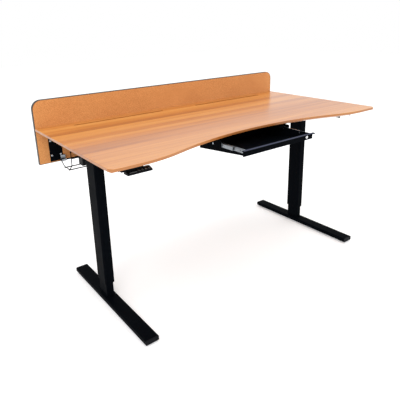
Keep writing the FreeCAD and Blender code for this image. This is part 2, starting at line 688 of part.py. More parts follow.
def build_basket_hooks():
    """Strips that carry the basket: from the panel brackets behind, the desktop in front."""
    rail_y = f"({FACE} - @basket_back_y)"
    seat_z = "(@basket_back_z - @basket_rail / 2)"
    front_y = f"({FACE} - @basket_back_y - @basket_depth)"
    front_seat = "(@basket_front_z - @basket_rail / 2)"
    shelf = "(@basket_rail + @hook_thick)"
    pieces = []
    for side in BRACKETS:
        left_x = f"{REAR_HOOK_X[side]} - @hook_wide / 2"
        hang_x = f"{FRONT_HOOK_X[side]} - @hook_wide / 2"
        back_y = f"{BRACKET_FACE_Y} - @hook_thick"
        strip = box(f"rear_hook_{side}_strip", ("@hook_wide", "@hook_thick", "@hook_strip"),
                    (left_x, back_y, f"{seat_z} - @hook_thick"))
        arm = box(f"rear_hook_{side}_arm",
                  ("@hook_wide", f"{back_y} - {rail_y} + {shelf}", "@hook_thick"),
                  (left_x, f"{rail_y} - {shelf}", f"{seat_z} - @hook_thick"))
        tip = box(f"rear_hook_{side}_tip", ("@hook_wide", "@hook_thick", "@hook_tip"),
                  (left_x, f"{rail_y} - {shelf}", f"{seat_z} - @hook_thick"))
        pieces.append(fuse(f"rear_hook_{side}", [strip, arm, tip]))
        drop = f"({UNDER} - {front_seat} + @hook_thick)"
        hang = box(f"front_hook_{side}_strip", ("@hook_wide", "@hook_thick", drop),
                   (hang_x, f"{front_y} + @basket_rail / 2 + 1",
                    f"{front_seat} - @hook_thick"))
        foot = box(f"front_hook_{side}_foot", ("@hook_wide", "@hook_foot", "@hook_thick"),
                   (hang_x, f"{front_y} + @basket_rail / 2 + 1",
                    f"{UNDER} - @hook_thick"))
        shelf_box = box(f"front_hook_{side}_shelf",
                        ("@hook_wide", "@basket_rail + 2 * @hook_thick + 2",
                         "@hook_thick"),
                        (hang_x, f"{front_y} - @basket_rail / 2 - 1 - @hook_thick",
                         f"{front_seat} - @hook_thick"))
        lip = box(f"front_hook_{side}_lip", ("@hook_wide", "@hook_thick", "@hook_tip"),
                  (hang_x, f"{front_y} - @basket_rail / 2 - 1 - @hook_thick",
                   f"{front_seat} - @hook_thick"))
        pieces.append(fuse(f"front_hook_{side}", [hang, foot, shelf_box, lip]))
    node("basket_hooks", group("basket_hooks_group", pieces))


def build_control_box():
    """Long housing on the basket's floor, with motor sockets and an inlet in one end."""
    low = "(@basket_base_z + @basket_wire / 2)"
    front_y = f"({FACE} - @basket_back_y - @basket_depth + @basket_front_run + 2)"
    shell = prism("control_shell", "YZ_Plane",
                  ("@control_wide", "@control_high", "@control_round"), "@control_long",
                  ("-@control_left_x", f"{front_y} + @control_wide / 2",
                   f"{low} + @control_high / 2"))
    end_x = "(@control_long - @control_left_x)"
    sockets = []
    for index in range(2):
        sockets.append(box(
            f"motor_socket_{index}", ("@socket_deep + 1", "@socket_wide", "@socket_high"),
            (f"{end_x} - @socket_deep", f"{front_y} + @socket_wide / 2",
             f"{low} + {index + 1} * 1.7 * @socket_high")))
    inlet_y = f"{front_y} + (@control_wide - @inlet_wide) / 2"
    inlet_z = f"({low} + @inlet_rise)"
    recess = box("inlet_recess", ("@inlet_deep + 1", "@inlet_wide", "@inlet_high"),
                 (f"{end_x} - @inlet_deep", inlet_y, inlet_z))
    node("control_box", cut("control_box_cut", shell, sockets + [recess]))
    body = box("inlet_body", ("@inlet_deep", "@inlet_wide", "@inlet_high"),
               (f"{end_x} - @inlet_deep", inlet_y, inlet_z))
    well = box("inlet_well", ("@inlet_deep", "@inlet_wide - 2 * @inlet_wall",
                              "@inlet_high - 2 * @inlet_wall"),
               (f"{end_x} - @inlet_deep + @inlet_floor", f"{inlet_y} + @inlet_wall",
                f"{inlet_z} + @inlet_wall"))
    pin_wide, pin_high, pin_apart = 1.6, 4, 6
    pins = []
    for i in (-1, 0, 1):
        pins.append(box(f"inlet_pin_{i + 1}", ("@inlet_deep - @inlet_floor", f"{pin_wide}",
                                               f"{pin_high}"),
                        (f"{end_x} - @inlet_deep + @inlet_floor - 1",
                         f"{inlet_y} + @inlet_wide / 2 - {pin_wide / 2} + {pin_apart * i}",
                         f"{inlet_z} + @inlet_high / 2 - {pin_high / 2}")))
    node("control_box_inlet", fuse("inlet_fused", [
        cut("inlet_hollow", body, [well])] + pins))


# ----------------------------------------------------------------------------------
# Frame under the desktop
# ----------------------------------------------------------------------------------

def build_frame():
    screws = []
    for side, sign in (("left", "-"), ("right", "+")):
        inward = "+" if side == "left" else "-"
        leg_x = f"({sign}@leg_x)"
        gear_x = f"({sign}@leg_x {inward} @gear_shift)"
        left_x = f"({leg_x} - @rail_wide / 2)"
        front_y = "@rail_front_y"
        top = box(f"{side}_rail_top", ("@rail_wide", "@rail_long", "@rail_plate"),
                  (left_x, front_y, f"{UNDER} - @rail_plate"))
        walls = [box(f"{side}_rail_wall_{i}",
                     ("@rail_flange_thick", "@rail_long", "@rail_flange"),
                     (x, front_y, f"{UNDER} - @rail_plate - @rail_flange"))
                 for i, x in enumerate((left_x,
                                        f"{leg_x} + @rail_wide / 2 - @rail_flange_thick"))]
        pocket = box(f"{side}_rail_notch",
                     ("@rail_wide", "@gear_deep + @crossbar_deep", "@rail_flange + 1"),
                     (f"{leg_x} {inward} @rail_wide / 2 - @rail_wide / 2",
                      f"{LEG_Y} - @gear_deep / 2 - 1",
                      f"{UNDER} - @rail_plate - @rail_flange - 1"))
        holes = [screw_hole(f"rail_hole_{name}", spot, "Z")
                 for name, spot in rail_screw_places.items() if side in name]
        bent = fuse(f"{side}_rail_bent", [top] + walls)
        node(f"{side}_side_bracket", cut(f"{side}_rail_cut", bent, [pocket] + holes))
        for name, spot in rail_screw_places.items():
            if side in name:
                screws.append(screw(f"screw_{name}", spot, "+Z"))

        casting = prism(f"{side}_gear_casting", "XY_Plane",
                        ("@gear_wide", "@gear_deep", "@gear_round"), "@gear_high",
                        (gear_x, LEG_Y, GEAR_LOW))
        journal = rod(f"{side}_gear_bore", "@spindle_radius + @journal_gap",
                      "@spindle_journal + 1.5", (leg_x, LEG_Y, f"{GEAR_LOW} - 1"))
        node(f"{side}_gear_housing", cut(f"{side}_gear_cut", casting, [journal]))

        motor_x = (f"-@leg_x + @gear_shift + @gear_wide / 2" if side == "left"
                   else f"@leg_x - @gear_shift - @gear_wide / 2 - @motor_long")
        can = rod(f"{side}_motor_can", "@motor_radius", "@motor_long",
                  (motor_x, f"{FACE} - @motor_setback",
                   f"{GEAR_LOW} + @gear_high / 2"), "X")
        node(f"{side}_motor", can)

    span = "2 * (@leg_x - @rail_wide / 2)"
    bar_y = f"({LEG_Y})"
    outer = box("crossbar_outer", (span, "@crossbar_deep", "@crossbar_high"),
                (f"-({span}) / 2", bar_y, f"{UNDER} - @crossbar_high"))
    inner = box("crossbar_inner", (f"{span} + 2", "@crossbar_deep - 2 * @crossbar_wall",
                                   "@crossbar_high"),
                (f"-({span}) / 2 - 1", f"{bar_y} + @crossbar_wall",
                 f"{UNDER} - @crossbar_high - @crossbar_wall"))
    node("crossbar", cut("crossbar_cut", outer, [inner]))
    node("desktop_screws", group("desktop_screws_group", screws))


# ----------------------------------------------------------------------------------
# Lifting columns, feet and glides
# ----------------------------------------------------------------------------------

def build_column(side, sign):
    leg_x = f"({sign}@leg_x)"
    hole_round = "(@outer_round - @outer_wall)"
    node(f"{side}_outer_tube", prism(
        f"{side}_outer", "XY_Plane", ("@outer_x", "@outer_y", "@outer_round"),
        f"{GEAR_LOW} - @outer_bottom_z", (leg_x, LEG_Y, "@outer_bottom_z"),
        ("@hole_x", "@hole_y", hole_round)))
    node(f"{side}_column_collar", prism(
        f"{side}_collar", "XY_Plane",
        ("@hole_x - @press_gap", "@hole_y - @press_gap", hole_round),
        "@collar_high",
        (leg_x, LEG_Y, "@outer_bottom_z"),
        ("@inner_x + 2 * @slide_gap", "@inner_y + 2 * @slide_gap",
         "@inner_round + @slide_gap")))
    node(f"{side}_inner_tube", prism(
        f"{side}_inner", "XY_Plane", ("@inner_x", "@inner_y", "@inner_round"),
        f"@inner_top_z - {FOOT_TOP}", (leg_x, LEG_Y, FOOT_TOP),
        ("@inner_x - 2 * @inner_wall", "@inner_y - 2 * @inner_wall",
         "@inner_round - @inner_wall")))
    plug = prism(f"{side}_carrier_plug", "XY_Plane",
                 ("@inner_x - 2 * @inner_wall - @press_gap",
                  "@inner_y - 2 * @inner_wall - @press_gap",
                  "@inner_round - @inner_wall"), "@carrier_high",
                 (leg_x, LEG_Y, "@inner_top_z - @carrier_high"))
    cap = prism(f"{side}_carrier_cap", "XY_Plane",
                ("@hole_x - 2 * @slide_gap", "@hole_y - 2 * @slide_gap",
                 hole_round), "@carrier_cap", (leg_x, LEG_Y, "@inner_top_z"))
    bore = rod(f"{side}_carrier_bore", "@spindle_radius + @journal_gap",
               "@carrier_high + @carrier_cap + 2",
               (leg_x, LEG_Y, "@inner_top_z - @carrier_high - 1"))
    node(f"{side}_spindle_nut", cut(f"{side}_carrier_cut", fuse(
        f"{side}_carrier", [plug, cap]), [bore]))
    node(f"{side}_spindle", rod(
        f"{side}_spindle_rod", "@spindle_radius",
        f"{GEAR_LOW} + @spindle_journal - @spindle_low_z",
        (leg_x, LEG_Y, "@spindle_low_z")))


def build_foot(side, sign):
    leg_x = f"({sign}@leg_x)"
    front_y = f"({FACE} - @foot_front)"
    rear_y = f"({front_y} + @foot_long)"
    middle_z = "(@glide_high + @foot_high / 2)"
    inner = ("@foot_wide - 2 * @foot_wall", "@foot_high - 2 * @foot_wall",
             "@foot_round - @foot_wall")
    glides = {"front": f"{front_y} + @glide_inset", "rear": f"{rear_y} - @glide_inset"}
    beam = prism(f"{side}_foot", "XZ_Plane",
                 ("@foot_wide", "@foot_high", "@foot_round"),
                 "@foot_long - 2 * @foot_cap",
                 (leg_x, f"{rear_y} - @foot_cap", middle_z), inner)
    holes = [rod(f"{side}_glide_hole_{end}", "@stud_radius + @glide_gap",
                 "@foot_wall + 2", (leg_x, y, "@glide_high - 1"))
             for end, y in glides.items()]
    node(f"{side}_foot_beam", cut(f"{side}_foot_cut", beam, holes))

    caps = []
    for end in ("front", "rear"):
        plate_y = f"{front_y} + @foot_cap" if end == "front" else rear_y
        plug_y = (f"{front_y} + @foot_cap + @foot_plug" if end == "front"
                  else f"{rear_y} - @foot_cap")
        plate = prism(f"{side}_cap_{end}", "XZ_Plane",
                      ("@foot_wide", "@foot_high", "@foot_round"), "@foot_cap",
                      (leg_x, plate_y, middle_z))
        plug = prism(f"{side}_plug_{end}", "XZ_Plane",
                     (inner[0] + " - 2 * @press_gap", inner[1] + " - 2 * @press_gap",
                      inner[2]),
                     "@foot_plug", (leg_x, plug_y, middle_z))
        caps.append(fuse(f"{side}_end_{end}", [plate, plug]))
    node(f"{side}_foot_caps", group(f"{side}_foot_caps_group", caps))

    for end, y in glides.items():
        sole = rod(f"{side}_{end}_sole", "@glide_radius", "@glide_high - @glide_gap - @glide_collar",
                   (leg_x, y, "0"))
        collar = dome(f"{side}_{end}_collar", "0.8 * @glide_radius", "@glide_collar",
                      (leg_x, y, "@glide_high - @glide_gap - @glide_collar"))
        stud = rod(f"{side}_{end}_stud", "@stud_radius", "@stud_long", (leg_x, y, "1"))
        node(f"{side}_{end}_glide", fuse(f"{side}_{end}_glide_fused",
                                         [sole, collar, stud]))


# ----------------------------------------------------------------------------------
# Drawer
# ----------------------------------------------------------------------------------

def build_tray():
    """Shallow steel tray whose floor falls towards the back."""
    front_y = f"{TRAY_FRONT_Y} + @front_thick"
    length = "(@tray_long - @front_thick)"

    def wedge(label, grow, lift, top, half):
        body = new_body(label)
        side = sketch_on(body, "YZ_Plane", label + "_side")
        polygon(side, [(grow, f"@tray_front_z + {lift}"),
                       (f"{length} - {grow}", f"@tray_back_z + {lift}"),
                       (f"{length} - {grow}", top), (grow, top)])
        pad(body, side, f"2 * ({half})", label + "_pad")
        return place(body, f"-({half})", front_y, "0")

    outside = wedge("tray_outside", "0", "0", "@tray_top_z", "@tray_half_wide")
    inside = wedge("tray_inside", "@tray_wall", "@tray_wall", "@tray_top_z + 1",
                   "@tray_half_wide - @tray_wall")
    seat_rear = rod("lock_seat_rear", "@lock_radius - 1 + @journal_gap", "@tray_wall + 4",
                    ("@lock_x", front_y + " - 1", "@lock_z"), "Y")
    node("drawer_tray", cut("drawer_tray_cut", outside, [inside, seat_rear]))

    plate = box("drawer_front_plate",
                ("2 * @front_half_wide", "@front_thick", "@tray_top_z - @tray_front_z"),
                ("-@front_half_wide", TRAY_FRONT_Y, "@tray_front_z"))
    lip = box("drawer_lip", ("2 * (@front_half_wide + @lip_over)",
                             "@lip_deep + @front_thick", "@lip_thick"),
              ("-@front_half_wide - @lip_over", f"{TRAY_FRONT_Y} - @lip_deep",
               "@tray_top_z - @lip_thick"))
    curl = rod("drawer_lip_curl", "@lip_thick / 2 + @curl_swell",
               "2 * (@front_half_wide + @lip_over)",
               ("-@front_half_wide - @lip_over",
                f"{TRAY_FRONT_Y} - @lip_deep + @lip_thick / 2 + @curl_swell",
                "@tray_top_z - @lip_thick / 2 - @curl_swell"), "X")
    seat = rod("lock_seat", "@lock_radius - 1 + @journal_gap", "@front_thick + @tray_wall + 4",
               ("@lock_x", f"{TRAY_FRONT_Y} - 1", "@lock_z"), "Y")
    node("drawer_front", cut("drawer_front_cut", fuse(
        "drawer_front_bent", [plate, lip, curl]), [seat]))


def build_lock():
    ring = dome("lock_face", "@lock_radius", "@lock_face",
                ("@lock_x", TRAY_FRONT_Y, "@lock_z"), "Y")
    ring.Placement = FreeCAD.Placement(V(0, 0, 0), FreeCAD.Rotation(V(1, 0, 0), 90))
    ring.setExpression("Radius2", d("@lock_radius - 1"))
    place(ring, "@lock_x", TRAY_FRONT_Y, "@lock_z")
    barrel = rod("lock_barrel", "@lock_radius - 1", "@lock_long",
                 ("@lock_x", TRAY_FRONT_Y, "@lock_z"), "Y")
    bore = rod("lock_bore", "@lock_core_radius + @journal_gap", "@lock_long + 4",
               ("@lock_x", f"{TRAY_FRONT_Y} - 3", "@lock_z"), "Y")
    node("lock_body", cut("lock_body_cut", fuse("lock_body_fused", [ring, barrel]),
                          [bore]))
    core = rod("lock_core", "@lock_core_radius", "@lock_long + 1 + @core_proud",
               ("@lock_x", f"{TRAY_FRONT_Y} - @core_proud", "@lock_z"), "Y")
    keyway = box("lock_keyway", ("@keyway_wide", "@keyway_deep + 1", "@keyway_high"),
                 ("@lock_x - @keyway_wide / 2", f"{TRAY_FRONT_Y} - @core_proud - 1",
                  "@lock_z - @keyway_high / 2"))
    node("lock_cylinder", cut("lock_cylinder_cut", core, [keyway]))
    cam_y = f"({TRAY_FRONT_Y} + @lock_long + 1)"
    arm = box("lock_cam_arm", ("@cam_long - @cam_wide / 2", "@cam_thick", "@cam_wide"),
              ("@lock_x - @cam_long + @cam_wide / 2", cam_y,
               "@lock_z - @cam_wide / 2"))
    tip = rod("lock_cam_tip", "@cam_wide / 2", "@cam_thick",
              ("@lock_x - @cam_long + @cam_wide / 2", cam_y, "@lock_z"), "Y")
    hub = rod("lock_cam_hub", "@lock_core_radius + 2", "@cam_thick",
              ("@lock_x", cam_y, "@lock_z"), "Y")
    hub_hole = rod("lock_cam_hole", "@lock_core_radius", "@cam_thick + 2",
                   ("@lock_x", f"{cam_y} - 1", "@lock_z"), "Y")
    node("lock_cam", cut("lock_cam_cut", fuse("lock_cam_fused", [arm, tip, hub]),
                         [hub_hole]))
    strike_y = f"({TRAY_FRONT_Y} + @drawer_open + @lock_long - @strike_thick)"
    tab = box("strike_tab", ("@strike_wide", "@strike_thick",
                             "@tray_top_drop - @strike_clear"),
              ("@lock_x - @strike_wide / 2", strike_y, "@tray_top_z + @strike_clear"))
    foot = box("strike_foot", ("@strike_wide", "@strike_long", "@strike_thick"),
               ("@lock_x - @strike_wide / 2", strike_y, f"{UNDER} - @strike_thick"))
    node("lock_strike", fuse("lock_strike_fused", [tab, foot]))


def build_drawer_slides():
    """Three-part slides on both sides of the tray, and the hangers that carry them."""
    outer, middle, inner, rivets, outer_rivets = [], [], [], [], []
    space, plate = "@slide_space", "@hanger_plate"
    high, wall, lip, core = "@member_high", "@member_wall", "@member_lip", "@member_core"
    for side, sign in (("left", -1), ("right", 1)):
        def from_tray(distance, thick):
            """Left edge X of a layer that starts a distance outside the tray wall."""
            if sign > 0:
                return f"@tray_half_wide + ({distance})"
            return f"-@tray_half_wide - ({distance}) - ({thick})"

        web = box(f"{side}_hanger_plate", (plate, "@tray_long", "@hanger_high"),
                  (from_tray(space, plate), HANGER_FRONT_Y, f"{UNDER} - @hanger_high"))
        flange = box(f"{side}_hanger_flange",
                     ("@hanger_flange", "@tray_long - @hanger_step", plate),
                     (from_tray(space, "@hanger_flange"),
                      f"{HANGER_FRONT_Y} + @hanger_step", f"{UNDER} - {plate}"))
        guard_x = from_tray(f"{space} + {plate}", plate)
        guard_y, guard_z = f"{HANGER_FRONT_Y} + @guard_inset", f"{MEMBER_LOW} + @guard_rise"
        ring = rod(f"{side}_guard_ring", "@guard_radius", plate,
                   (guard_x, guard_y, guard_z), "X")
        ring_hole = rod(f"{side}_guard_hole", "@guard_bore", f"{plate} + 2",
                        (f"{guard_x} - 1", guard_y, guard_z), "X")
        gap = box(f"{side}_guard_gap", (f"{plate} + 2", "@guard_radius + 2",
                                        "2 * @guard_radius + 1"),
                  (f"{guard_x} - 1", f"{guard_y} + 1", f"{guard_z} - @guard_radius - 0.5"))
        guard = cut(f"{side}_guard", ring, [ring_hole, gap])
        node(f"{side}_drawer_hanger", fuse(f"{side}_hanger_fused", [web, flange, guard]))

        lip_x = from_tray(f"{space} - {wall} - {lip}", lip)
        outer.append(fuse(f"{side}_outer_member", [
            box(f"{side}_outer_web", (wall, "@member_long", high),
                (from_tray(f"{space} - {wall}", wall), HANGER_FRONT_Y, MEMBER_LOW)),
            box(f"{side}_outer_low", (lip, "@member_long", wall),
                (lip_x, HANGER_FRONT_Y, MEMBER_LOW)),
            box(f"{side}_outer_top", (lip, "@member_long", wall),
                (lip_x, HANGER_FRONT_Y, f"{MEMBER_LOW} + {high} - {wall}"))]))

        rear = f"({HANGER_FRONT_Y} - @drawer_open / 2)"
        slim = f"({high} - 2 * {wall} - 2 * @member_gap)"
        core_z = f"({MEMBER_LOW} + {wall} + @member_gap)"
        bar_start = f"{space} - {wall} - @member_gap - {core}"
        bar = box(f"{side}_middle_bar", (core, "@member_long", slim),
                  (from_tray(bar_start, core), rear, core_z))
        groove = box(f"{side}_middle_groove",
                     ("@member_groove", "@member_long + 2", f"{slim} - 2 * {wall}"),
                     (from_tray(bar_start, "@member_groove"), f"{rear} - 1",
                      f"{core_z} + {wall}"))
        middle.append(cut(f"{side}_middle_member", bar, [groove]))

        tray_y = f"({TRAY_FRONT_Y} + @front_thick)"
        middle_z = f"{MEMBER_LOW} + {high} / 2"
        strip = box(f"{side}_inner_web", (wall, "@member_long", high),
                    (from_tray("0", wall), tray_y, MEMBER_LOW))
        tongue = box(f"{side}_inner_tongue",
                     (lip, "@member_long", f"{slim} - 2 * {wall} - 2 * @tongue_gap"),
                     (from_tray("0", lip), tray_y, f"{core_z} + {wall} + @tongue_gap"))
        ports = [rod(f"{side}_inner_port_{i}", "@port_radius", f"{lip} + 2",
                     (f"{from_tray('0', lip)} - 1", f"{tray_y} + {share} * @member_long",
                      middle_z), "X")
                 for i, share in enumerate((0.05, 0.09, 0.38))]
        inner.append(cut(f"{side}_inner_member", fuse(f"{side}_inner_fused",
                                                      [strip, tongue]), ports))

        head_x = (f"-@tray_half_wide + @tray_wall" if sign < 0
                  else "@tray_half_wide - @tray_wall - @rivet_head")
        for i, share in enumerate((0.2, 0.53, 0.84)):
            rivets.append(rod(f"{side}_rivet_{i}", "@rivet_radius", "@rivet_head",
                              (head_x, f"{tray_y} + {share} * @member_long", middle_z),
                              "X"))
        outer_rivets.append(rod(
            f"{side}_hanger_rivet", "@rivet_radius", "@rivet_head",
            (from_tray(f"{space} + {plate}", "@rivet_head"),
             f"{HANGER_FRONT_Y} + @guard_inset + 40", middle_z), "X"))
    node("slide_outer_members", group("slide_outer_group", outer))
    node("slide_middle_members", group("slide_middle_group", middle))
    node("slide_inner_members", group("slide_inner_group", inner))
    node("tray_rivets", group("tray_rivets_group", rivets))
    node("hanger_rivets", group("hanger_rivets_group", outer_rivets))


# ----------------------------------------------------------------------------------
# Hand control under the front edge
# ----------------------------------------------------------------------------------

def build_hand_control():
    top_z = f"({UNDER} - @pad_drop)"
    low_z = f"({top_z} - @pad_high)"
    front_y = f"({FACE} - @pad_front)"
    left_x = "(-@pad_left_x)"
    mount = box("keypad_mount_block",
                ("@mount_wide", "@pad_deep - @mount_setback - 2", "@pad_drop"),
                (f"{left_x} - @mount_inset", f"{front_y} + @mount_setback", top_z))
    node("keypad_mount", mount)

    body = new_body("keypad_body")
    side = sketch_on(body, "YZ_Plane", "keypad_side")
    polygon(side, [("0", "0"), ("@pad_deep", "0"), ("@pad_deep", "@pad_high"),
                   ("@pad_bevel * 2.6", "@pad_high"), ("0", "@pad_high - @pad_bevel")])
    shell = pad(body, side, "@pad_wide", "keypad_shell")
    ends = edges_at(shell, lambda e: e.BoundBox.XLength < 1e-6
                    and e.BoundBox.YMin < 1e-6 and e.BoundBox.ZLength > 1)
    soften = body.newObject("PartDesign::Fillet", "keypad_corners")
    soften.Base = (shell, ends)
    bind(soften, Radius="@pad_round")
    body.Tip = soften
    place(body, left_x, front_y, low_z)

    # the bevelled face carries the display and the keys; they stand upright through it
    row_y = f"({front_y} + @pad_bevel * 1.3)"
    wells = []
    for index, name in enumerate(("memory_one", "memory_two", "down", "up")):
        x = f"{left_x} + @key_first + {index} * @key_pitch"
        wells.append(box(f"well_{name}", ("@key_wide", "@key_deep", "@pad_high"),
                         (x, f"{row_y} - @key_deep / 2", f"{low_z} + @well_base")))
        node(f"button_{name}", box(
            f"key_{name}", ("@key_wide - 2 * @key_gap", "@key_deep - 2 * @key_gap",
                            "@pad_high - @pad_bevel / 2 - @key_base + @key_rise"),
            (f"{x} + @key_gap", f"{row_y} - @key_deep / 2 + @key_gap",
             f"{low_z} + @key_base")))
    screen_at = (f"{left_x} + @screen_inset", f"{row_y} - @key_deep / 2",
                 f"{low_z} + @pad_high - @pad_bevel")
    screen_well = box("screen_well", ("@screen_wide", "@key_deep", "@pad_high"), screen_at)
    node("keypad_housing", cut("keypad_cut", body, wells + [screen_well]))
    node("keypad_display", box("keypad_screen", ("@screen_wide", "@key_deep",
                                                 "@pad_bevel / 2"), screen_at))


# ----------------------------------------------------------------------------------
# Build everything
# ----------------------------------------------------------------------------------

build_desktop()
build_panel()
build_panel_brackets()
build_basket()
build_basket_hooks()
build_control_box()
build_frame()
for column_side, column_sign in (("left", "-"), ("right", "")):
    build_column(column_side, column_sign)
    build_foot(column_side, column_sign)
build_tray()
build_lock()
build_drawer_slides()
build_hand_control()

sheet.clear("D1")
doc.recompute()

for obj in doc.Objects:
    if "Invalid" in obj.State or "Error" in obj.State:
        raise RuntimeError(f"{obj.Name} ({obj.Label}) failed: {obj.State}")
labels = [obj.Label for obj in nodes]
if len(set(labels)) != len(labels):
    raise RuntimeError("two nodes share a label")
for obj in nodes:
    if obj.Shape.isNull() or not obj.Shape.isValid() or not obj.Shape.Solids:
        raise RuntimeError(f"{obj.Label} has no valid solid")

os.makedirs("parts", exist_ok=True)
for obj in nodes:
    obj.Shape.exportStep(f"parts/{obj.Label}.step")
    bounds = obj.Shape.BoundBox
    print(f"{obj.Label:24s} solids {len(obj.Shape.Solids):3d} volume {obj.Shape.Volume:12.1f} "
          f"x {bounds.XMin:8.1f} {bounds.XMax:8.1f} y {bounds.YMin:8.1f} {bounds.YMax:8.1f} "
          f"z {bounds.ZMin:8.1f} {bounds.ZMax:8.1f}")
print("nodes", len(nodes))
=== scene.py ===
import json
import math
import bmesh
import bpy
from mathutils import Matrix, Vector


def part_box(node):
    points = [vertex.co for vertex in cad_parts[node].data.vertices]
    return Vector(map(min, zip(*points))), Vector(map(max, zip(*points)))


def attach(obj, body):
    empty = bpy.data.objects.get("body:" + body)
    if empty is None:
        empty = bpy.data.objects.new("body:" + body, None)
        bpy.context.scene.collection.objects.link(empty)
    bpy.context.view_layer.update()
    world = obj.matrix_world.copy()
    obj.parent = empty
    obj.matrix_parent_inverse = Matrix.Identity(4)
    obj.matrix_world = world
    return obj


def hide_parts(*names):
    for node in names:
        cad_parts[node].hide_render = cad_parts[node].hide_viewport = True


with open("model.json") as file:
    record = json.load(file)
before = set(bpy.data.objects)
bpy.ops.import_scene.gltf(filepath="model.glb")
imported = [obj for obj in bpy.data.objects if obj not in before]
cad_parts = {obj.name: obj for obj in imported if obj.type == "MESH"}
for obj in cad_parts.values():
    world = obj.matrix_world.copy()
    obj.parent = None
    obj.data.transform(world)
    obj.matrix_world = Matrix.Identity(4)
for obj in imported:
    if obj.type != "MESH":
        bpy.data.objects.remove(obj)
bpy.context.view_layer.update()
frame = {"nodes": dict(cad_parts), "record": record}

nodes = frame["nodes"]
scene = bpy.context.scene

SIDES = ("left", "right")
X, Y, Z = Vector((1, 0, 0)), Vector((0, 1, 0)), Vector((0, 0, 1))
WHITE = (1, 1, 1, 1)
TINY = 1e-7
SHARP_ANGLE = math.radians(35)
SLOT_OF = {row["node"]: row["material_slot"] for row in frame["record"]["subparts"]}
BODY_OF = {node: body for body, members in frame["record"]["behaviour"]["bodies"].items()
           for node in members}


# ----------------------------------------------------------------------------------
# Camera, floor and light
# ----------------------------------------------------------------------------------

def make_camera():
    """Camera 1.2 m up to the front left, tipped down, with a slight roll."""
    azimuth, elevation, roll = (math.radians(a) for a in (37.23, 17.526, -1.322))
    stand = (-1.3263, -1.5831, 1.2084)
    forward = Vector((math.sin(azimuth) * math.cos(elevation),
                      math.cos(azimuth) * math.cos(elevation), -math.sin(elevation)))
    level_right = Vector((math.cos(azimuth), -math.sin(azimuth), 0))
    level_up = level_right.cross(forward)
    right = level_right * math.cos(roll) + level_up * math.sin(roll)
    up = level_up * math.cos(roll) - level_right * math.sin(roll)
    data = bpy.data.cameras.new("camera")
    data.lens, data.sensor_width, data.shift_y = 38.99, 36, -0.1077
    camera = bpy.data.objects.new("camera", data)
    axes = Matrix((right, up, -forward)).transposed().to_4x4()
    camera.matrix_world = Matrix.Translation(stand) @ axes
    scene.collection.objects.link(camera)
    scene.camera = camera


def area_light(name, place, target, size, power):
    """Rectangular soft light aimed at a target."""
    data = bpy.data.lights.new(name, "AREA")
    data.shape, data.size, data.size_y = "RECTANGLE", size[0], size[1]
    data.energy = power
    light = bpy.data.objects.new(name, data)
    light.location = place
    light.rotation_euler = (Vector(target) - Vector(place)).to_track_quat("-Z", "Y").to_euler()
    scene.collection.objects.link(light)


def make_studio():
    """White surroundings, two soft lights and a white paper floor."""
    scene.view_settings.view_transform = "Standard"
    world = bpy.data.worlds.new("studio")
    world.use_nodes = True
    background = world.node_tree.nodes["Background"]
    background.inputs["Color"].default_value = WHITE
    background.inputs["Strength"].default_value = 1.0
    scene.world = world
    area_light("key_light", (-2.2, -2.6, 3.4), (0, 0, 0.5), (2.6, 2.0), 70)
    area_light("top_light", (0.6, 0.4, 3.6), (0, 0, 0.6), (3.0, 2.4), 35)

    floor_half = 12.0
    mesh = bpy.data.meshes.new("studio_floor")
    corners = [(-1, -1), (1, -1), (1, 1), (-1, 1)]
    mesh.from_pydata([(x * floor_half, y * floor_half, 0) for x, y in corners], [],
                     [(0, 1, 2, 3)])
    floor = bpy.data.objects.new("studio_floor", mesh)
    paper = Look("floor_paper", {"Base Color": (0.93, 0.93, 0.93, 1), "Roughness": 0.9,
                                 "Specular IOR Level": 0.2, "Emission Strength": 0.22,
                                 "Emission Color": WHITE})
    mesh.materials.append(paper.material)
    scene.collection.objects.link(floor)


# ----------------------------------------------------------------------------------
# Material building
# ----------------------------------------------------------------------------------

